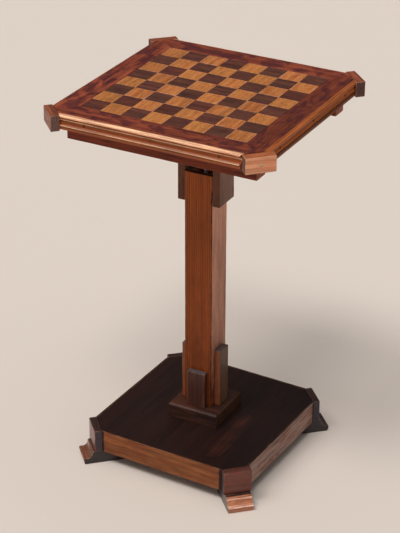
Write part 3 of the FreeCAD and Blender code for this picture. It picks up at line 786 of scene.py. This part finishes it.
def build_mouldings():
    """The four edge mouldings, each with three screws sunk in its cove."""
    places = []
    for quarter, side in enumerate(SIDES):
        turn = turned(90 * quarter)
        run = timber(moulding_section(), -TOP_HALF, TOP_HALF, cuts=corner_planes(CORNER_CUT), ease=0.18,
                     pitch=12, wear=0.15, waver=0.06, log=(30.0, 70.0 + 25 * quarter),
                     stain=moulding_stain(LIGHT_BANDS[side]), seed="moulding" + side)
        sinkings = [hole(TRIM_HOLE, SINKING, at, INWARDS) for at in TRIM_SPOTS]
        finish = LIT_MOULDING_WOOD if LIGHT_BANDS[side] == LIT_BANDS else SHADED_MOULDING_WOOD
        piece("edge_moulding_" + side, [run], finish, ["moulding_" + side], turn, sinkings)
        places += [(at + TRIM_SUNK, INWARDS, turn) for at in TRIM_SPOTS]
    screws("trim_screws", "moulding_screws", TRIM_SCREW, 16 * MM, places, RUSTED_STEEL)


# the corner blocks of the top. Tone and hue: the one at the front right is pale, the others red-brown
BLOCK_SHADES = ((0.6, 0.0), (-1.0, 1.0), (0.0, 1.0), (-0.3, 1.0))
# radius of their arrises, in mm
BLOCK_EASES = (1.0, 1.6, 1.6, 1.6)
# stain of the top of each, and of the rest of it: the one at the front left is rubbed pale
BLOCK_STAINS = ((0.78, 0.0), (0.2, 0.0), (0.2, 0.0), (0.2, -0.3))


def block_stain(top, rest):
    return lambda at, normal: top if normal.z > 0.9 else rest


def build_corner_blocks():
    """A block screwed across each clipped corner of the top."""
    places = []
    for quarter, corner in enumerate(CORNERS):
        turn = corner_turn(quarter)
        low, high = extent("corner_block_" + corner, turn)
        block = timber(rectangle(low.y, high.y, low.z, high.z), low.x, high.x, ease=BLOCK_EASES[quarter],
                       segments=3, pitch=6, wear=0.5, waver=0.0, log=(20.0, 50.0 + 30 * quarter),
                       shade=BLOCK_SHADES[quarter], stain=block_stain(*BLOCK_STAINS[quarter]),
                       seed="block" + corner)
        at = Vector(((low.x + high.x) / 2, low.y, (low.z + high.z) / 2))
        piece("end_block_" + corner, [block], BLOCK_WOOD, ["corner_block_" + corner],
              turn, [hole(BLOCK_HOLE, SINKING, at, INWARDS)])
        places.append((at + BLOCK_SUNK, INWARDS, turn))
    screws("block_screws", "corner_block_screws", BLOCK_SCREW, 42 * MM, places, PALE_STEEL)


def build_top():
    build_squares()
    build_border()
    build_mouldings()
    build_corner_blocks()
    board("core_board", "top_core", CORE_WOOD, "core_wood", ALONG_X, cuts=all_corner_planes(CORNER_CUT),
          ease=0.3, log=(10.0, 60.0))


# ---- underframe and post ----
# the screws up through the bearer and the battens, in mm
BEARER_SCREWS = [(0, -95), (0, 95)]
BATTEN_SCREWS = [(x, y) for x in (-160, -60, 60, 160) for y in (-155, 155)]


def cheek_stain(at, normal):
    """The broad faces of a cheek carry a painted sheen, lighter and greyer."""
    return -0.8 if abs(normal.y) > 0.9 else 0.0


def build_underframe():
    for side in ("front", "back"):
        board("cross_batten_" + side, "batten_" + side, BATTEN_WOOD, "batten_wood", ALONG_X, ease=1.2,
              wear=0.5, log=(40.0, 90.0))
    board("bearer_bar", "centre_bearer", BEARER_WOOD, "batten_wood", ALONG_Y)
    for side, from_pith in (("right", 70.0), ("left", 110.0)):
        board("cheek_plate_" + side, "cheek_" + side, CHEEK_WOOD, "cheek_wood", ALONG_Z, ease=1.4,
              segments=3, wear=0.6, log=(from_pith, 30.0), stain=cheek_stain)
    spots = BEARER_SCREWS + BATTEN_SCREWS
    places = [(Vector((x * MM, y * MM, UNDERSIDE)), UPWARDS, STILL) for x, y in spots]
    screws("frame_screws", "underframe_screws", FRAME_SCREW, 50 * MM, places)


def post_stain(strength, at_foot):
    """The post is painted darker towards its foot, as shade, and at_foot darkens its lowest 150 mm more."""
    foot_top = POST_LOW + 150 * MM

    def stain(at, normal):
        near_foot = max(0.0, (foot_top - at.x) / (foot_top - POST_LOW))
        return strength * (POST_TOP - at.x) / (POST_TOP - POST_LOW) + at_foot * near_foot
    return stain


def flank_step_stain(at, normal):
    """The steps on the left and right of the post are dull on their outer faces."""
    return 1.0 if abs(normal.y) > 0.9 else 0.0


# the widest that the joint of the post can look, and the height above which it is wider than below
SEAM, SEAM_WIDE_FROM = 5 * MM, 440 * MM


def open_seam(bm):
    """Marks an uneven strip down the right edge of the front board, where the joint has gone dark."""
    slice_up(bm, 1, POST_HALF - SEAM, POST_HALF, 1 * MM)
    bm.normal_update()
    arris = bm.faces.layers.float["arris"]
    for face in bm.faces:
        at = face.calc_center_median()
        ragged = 0.5 + 0.5 * noise.noise(Vector((at.x * 60, 0, 0)))
        wide = SEAM * (0.2 + 0.5 * ragged ** 2 + (0.35 * ragged if at.x > SEAM_WIDE_FROM else 0.0))
        if face.normal.z < -0.9 and at.y > POST_HALF - wide:
            face[arris] = 1.0


def build_post():
    """Four mitred boards, the stepped blocks round their foot and the plug in it."""
    outer, inner = POST_HALF, POST_INNER
    wall = [(-outer, -outer), (outer, -outer), (inner, -inner), (-inner, -inner)]
    for quarter, side in enumerate(SIDES):
        on_flank = side in ("right", "left")
        # the side boards take the painted sheen of the post's other colour, and every board is painted
        # darker towards the foot as shade
        stain = post_stain(0.45, 0.6) if on_flank else post_stain(0.8, 0.0)
        face = timber(wall, POST_LOW, POST_TOP, ALONG_Z, ease=0.9, pitch=4, wear=0.5, waver=0.1,
                      shade=(0.0, on_flank), log=(180.0 + 11 * quarter, 20.0), wanted=runs_along_grain,
                      stain=stain, seed="post" + side, finer=open_seam if side == "front" else no_detail)
        piece("post_board_" + side, [face], POST_WOOD, ["post_" + side], turned(90 * quarter))
        board("step_" + side, "step_block_" + side, STEP_WOOD, "step_block_wood", ALONG_Z, ease=1.6,
              segments=3, pitch=8, wear=0.6, log=(60.0, 40.0), shade=(0.0, on_flank),
              stain=flank_step_stain if on_flank else no_stain)
    board("post_foot_plug", "post_plug", PALE_WOOD, "pale_wood", ALONG_Z, ease=0.4)


COLLAR_BEVEL = 3 * MM
COLLAR_SCREWS = [(x * MM, y * MM) for x in (-38, 38) for y in (-38, 38)]


def collar_stain(at, normal):
    """The top of the collar is rubbed, most of all on the left."""
    return -0.9 * min(1.0, max(0.2, 0.5 - at.x / (100 * MM))) if normal.z > 0.6 else 0.0


def build_collar():
    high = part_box("collar")[1]
    bevel_at = (high.z + high.x - COLLAR_BEVEL) / ROOT2
    bevels = [(bevel_at, (x, y, 1)) for x, y in ((1, 0), (-1, 0), (0, 1), (0, -1))]
    board("collar_pad", "collar", COLLAR_WOOD, "collar_wood", ALONG_X, cuts=bevels, log=(30.0, 60.0),
          stain=collar_stain)
    places = [(Vector((x, y, BOARD_BED)), UPWARDS, STILL) for x, y in COLLAR_SCREWS]
    screws("pad_screws", "collar_screws", FRAME_SCREW, 24 * MM, places)


# ---- base ----
# worn places of the base board, in its own frame with the grain first, and how far each is worn
RUBBED_SPOTS = ((-9 * MM, -82 * MM, 0.6), (-62 * MM, -86 * MM, 0.5), (-106 * MM, -90 * MM, 0.6))
# how far such a place reaches along and across the grain
RUBBED_LONG, RUBBED_WIDE = 34 * MM, 16 * MM


def board_stain(at, normal):
    """The polish has worn red in places right of the collar, and is darkest along the right side."""
    if normal.z < 0.9:
        return 0.0
    worn = 0.0
    for along, across, depth in RUBBED_SPOTS:
        away = math.hypot((at.x - along) / RUBBED_LONG, (at.y - across) / RUBBED_WIDE)
        worn = max(worn, depth * (1.0 - away))
    to_right = -at.y / BASE_BOARD_HALF
    return -worn if worn > 0.02 else 0.7 * max(0.0, to_right)


def slice_board(bm):
    slice_up(bm, 1, -BASE_BOARD_HALF, BASE_BOARD_HALF, 8 * MM)


# where the outer face of a rail ends at the clipped corner, and how much of that end is dark
RAIL_END = BASE_CUT * ROOT2 - BASE_HALF
RAIL_END_DARK = 4 * MM


def rail_stain(at, normal):
    """The narrow top of a rail is as dark as the board beside it, and so are its ends."""
    return 1.0 if normal.z > 0.6 or abs(at.x) > RAIL_END - RAIL_END_DARK else 0.0


def slice_rail_ends(bm):
    reach = 2 * RAIL_END_DARK
    for start in (-RAIL_END, RAIL_END - reach):
        slice_up(bm, 0, start, start + reach, RAIL_END_DARK)


def build_base():
    """The board, the rebated rails round it, and the bearer and glue blocks below it."""
    board("base_panel", "base_board", BASE_BOARD_WOOD, "base_board_wood", ALONG_Y, BASE_PLACE,
          cuts=all_corner_planes(BASE_CUT), ease=0.3, pitch=8, waver=0.15, log=(20.0, 90.0),
          stain=board_stain, finer=slice_board)
    outer, rebate, inner = -BASE_HALF, -BASE_BOARD_HALF, -RAIL_INNER
    section = [(outer, BASE_LOW), (inner, BASE_LOW), (inner, BOARD_BED), (rebate, BOARD_BED),
               (rebate, BASE_TOP), (outer, BASE_TOP)]
    for quarter, side in enumerate(SIDES):
        # the right rail takes the painted sheen of the rail's other colour
        rail = timber(section, -BASE_HALF, BASE_HALF, cuts=MITRES + corner_planes(BASE_CUT), ease=0.5,
                      wear=0.4, shade=(0.0, side == "right"), log=(70.0, 30.0 + 20 * quarter),
                      stain=rail_stain, wanted=runs_along_grain, finer=slice_rail_ends, seed="rail" + side)
        piece("base_rail_" + side, [rail], RAIL_WOOD, ["rail_" + side],
              turned(90 * quarter, BASE_PLACE))
    board("base_bearer_bar", "base_bearer", PALE_WOOD, "pale_wood", ALONG_Y, BASE_PLACE)
    build_glue_blocks()


def build_glue_blocks():
    """A three-sided block in each inner corner of the rails."""
    leg, inner = 50 * MM, RAIL_INNER
    corner = [(inner, -inner), (inner, -inner + leg), (inner - leg, -inner)]
    for quarter, name in enumerate(CORNERS):
        block = timber(corner, BASE_LOW, BOARD_BED, ALONG_Z, ease=0.4, seed="glue" + name)
        piece("corner_glue_block_" + name, [block], PALE_WOOD, ["glue_block_" + name],
              turned(90 * quarter, BASE_PLACE))


# tone and hue of the block and of the foot at each corner
BASE_BLOCK_SHADES = ((0.2, 0.0), (-0.6, 1.0), (-0.3, 0.6), (0.0, 0.3))
FOOT_SHADES = ((0.6, 0.0), (-0.8, 1.0), (-0.2, 0.4), (-1.0, 0.4))
# stain of the top of each block: most of them are nearly black
BASE_BLOCK_STAINS = (0.4, 1.0, 1.0, 1.0)


def build_base_blocks():
    for quarter, corner in enumerate(CORNERS):
        board("base_end_block_" + corner, "base_block_" + corner, BASE_BLOCK_WOOD, "base_block_wood",
              ALONG_X, corner_turn(quarter, BASE_PLACE), ease=1.4, segments=3, pitch=5, wear=0.5, waver=0.0,
              shade=BASE_BLOCK_SHADES[quarter], log=(40.0, 60.0 + 20 * quarter),
              stain=block_stain(BASE_BLOCK_STAINS[quarter], 0.0))


# the toe of a foot, in mm: where the hollow starts and the rounding of the edge above it, the nose below it
# and how far that draws in at the floor
STEP_LOW, STEP_ROUND = 21.0, 3.5
NOSE_TOP, NOSE_ROUND, NOSE_UNDERCUT = 12.5, 3.0, 2.0
# how far down the middle of the hollow lies, as a part of the way through it
HOLLOW_MIDDLE = 0.25


def foot_step(node, place):
    """How far out the edge above the hollow of a foot stands, in mm."""
    return max(-p.y for p in node_points(node, place) if p.z > (STEP_LOW - 0.1) * MM) / MM


def foot_section(low, high, step):
    """The section of a bracket foot between the corners of its box, with its toe towards the front."""
    toe, heel, top = -low.y / MM, -high.y / MM, high.z / MM
    nose, edge = toe - NOSE_ROUND, step - STEP_ROUND
    corner = 1 - 1 / ROOT2
    hollow = (step + (nose - step) * HOLLOW_MIDDLE, NOSE_TOP + (STEP_LOW - NOSE_TOP) * HOLLOW_MIDDLE)
    nose_mid = (toe - NOSE_ROUND * corner, NOSE_TOP - NOSE_ROUND * corner)
    step_mid = (step - STEP_ROUND * corner, top - STEP_ROUND * corner)
    outline = [(heel, 0.0), (toe - NOSE_UNDERCUT, 0.0)]
    outline += arc((toe, NOSE_TOP - NOSE_ROUND), nose_mid, (nose, NOSE_TOP), 6)
    outline += arc((nose, NOSE_TOP), hollow, (step, STEP_LOW), 10)
    outline += [(step, STEP_LOW)]
    outline += arc((step, top - STEP_ROUND), step_mid, (edge, top), 6)
    outline += [(edge, top), (heel, top)]
    return [(-out * MM, up * MM) for out, up in outline]


# how strong the painted highlights along the edges of each toe are
FOOT_HIGHLIGHTS = (1.0, 0.0, 0.2, 0.3)
# heights, in mm, of the painted highlights along the edges above and below the hollow, and of the hollow
# between them
HIGHLIGHT_EDGES, HOLLOW = ((19.5, 23.5), (10.0, 12.4)), (12.0, 20.0)
# screws up through each heel, in mm from the middle of the base
FOOT_SCREWS_OUT = (182, 198)
FOOT_SINKING = 3 * MM


def is_within(height, band):
    return band[0] * MM < height < band[1] * MM


def foot_stain(rub):
    """The edges beside the hollow of the toe carry painted highlights, and the heel and the ends are nearly
    black.
    """
    def stain(at, normal):
        if -at.y < BASE_CUT or abs(normal.x) > 0.9:
            return 1.0
        if any(is_within(at.z, band) for band in HIGHLIGHT_EDGES):
            return 0.6 - 1.6 * rub
        return (0.0 if is_within(at.z, HOLLOW) else 0.15) + 0.6 * (1.0 - rub)
    return stain


def build_feet():
    """Four bracket feet, each screwed up into the base through two sunk holes in its heel."""
    places = []
    for quarter, corner in enumerate(CORNERS):
        turn = corner_turn(quarter, BASE_PLACE)
        low, high = extent("foot_" + corner, turn)
        section = foot_section(low, high, foot_step("foot_" + corner, turn))
        foot = timber(section, low.x, high.x, pitch=6, wear=0.5, waver=0.0, shade=FOOT_SHADES[quarter],
                      log=(40.0, 60.0 + 20 * quarter), stain=foot_stain(FOOT_HIGHLIGHTS[quarter]),
                      seed="foot" + corner)
        spots = [Vector((0, -out * MM, 0)) for out in FOOT_SCREWS_OUT]
        holes = [hole(FRAME_SCREW[1], FOOT_SINKING, at, UPWARDS) for at in spots]
        piece("bracket_foot_" + corner, [foot], FOOT_WOOD, ["foot_" + corner], turn, holes)
        places += [(at + Vector((0, 0, FOOT_SINKING)), UPWARDS, turn) for at in spots]
    screws("bracket_screws", "foot_screws", FRAME_SCREW, 34 * MM, places)


def finish_cad_nodes():
    """Gives the CAD nodes a finish. Only the washers, nuts and dowels are shown as they are."""
    for name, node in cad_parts.items():
        material = ROD_STEEL if name.startswith("rod_") else DOWEL_WOOD
        if not node.data.materials:
            node.data.materials.append(material)
        for slot in node.material_slots:
            slot.material = material


# ---- floor, light and camera ----
FLOOR_REACH = 20.0
SUN_COLOUR = (1.0, 0.985, 0.96)
ROOM_COLOUR, ROOM_STRENGTH = (0.9, 0.95, 1.0, 1.0), 0.10

# the camera: turns in degrees, focal length and longer side of its picture in pixels, sensor in mm
CAMERA_TURNS = (28.27, 27.461, 0.204)
FOCAL_LENGTH, PICTURE_SIDE, SENSOR = 1881.0, 533, 36.0
CAMERA_AT = (1.4344, -2.6889, 1.9618)


def build_floor():
    bm = bmesh.new()
    bmesh.ops.create_grid(bm, x_segments=1, y_segments=1, size=FLOOR_REACH)
    floor = linked("floor", to_mesh(bm, "floor"))
    paint = {"Base Color": rgb(228, 215, 205), "Roughness": 0.9, "Specular IOR Level": 0.2}
    floor.data.materials.append(Tree("floor").finish(paint))


def sun(name, direction, strength, spread):
    """A far light from direction, spread over that many degrees of sky."""
    data = bpy.data.lights.new(name, "SUN")
    data.energy, data.angle, data.color = strength, math.radians(spread), SUN_COLOUR
    linked(name, data).rotation_euler = Vector(direction).to_track_quat("Z", "Y").to_euler()


def build_light():
    """Two soft lights over the front, one from the left that shines along the beads, a wide one overhead, a
    low one from the front, a weak fill from the right and a dim room."""
    sun("key_left", (-0.17, -0.45, 0.88), 0.68, 16.0)
    sun("key_right", (0.14, -0.46, 0.88), 0.62, 16.0)
    sun("window", (-0.42, -0.42, 0.78), 0.50, 24.0)
    sun("overhead", (-0.05, -0.1, 1.0), 1.00, 80.0)
    sun("low_front", (0.05, -0.95, 0.25), 0.40, 40.0)
    sun("fill", (0.85, -0.30, 0.40), 0.15, 50.0)
    world = bpy.data.worlds.new("studio")
    bpy.context.scene.world = world
    world.use_nodes = True
    background = world.node_tree.nodes["Background"]
    background.inputs["Color"].default_value = ROOM_COLOUR
    background.inputs["Strength"].default_value = ROOM_STRENGTH


def build_camera():
    yaw, pitch, roll = (math.radians(turn) for turn in CAMERA_TURNS)
    data = bpy.data.cameras.new("camera")
    data.sensor_width = SENSOR
    data.lens = FOCAL_LENGTH * SENSOR / PICTURE_SIDE
    data.clip_start, data.clip_end = 0.1, 50.0
    camera = linked("camera", data)
    ahead = Vector((-math.sin(yaw) * math.cos(pitch), math.cos(yaw) * math.cos(pitch), -math.sin(pitch)))
    right = Vector((math.cos(yaw), math.sin(yaw), 0))
    up = right.cross(ahead)
    right, up = right * math.cos(roll) + up * math.sin(roll), up * math.cos(roll) - right * math.sin(roll)
    camera.matrix_world = Matrix((right, up, -ahead)).transposed().to_4x4()
    camera.location = CAMERA_AT
    bpy.context.scene.camera = camera


build_camera()
build_floor()
build_light()
bpy.context.scene.view_settings.view_transform = "Standard"
build_top()
build_underframe()
build_post()
build_collar()
build_base()
build_base_blocks()
build_feet()
build_rod()
finish_cad_nodes()
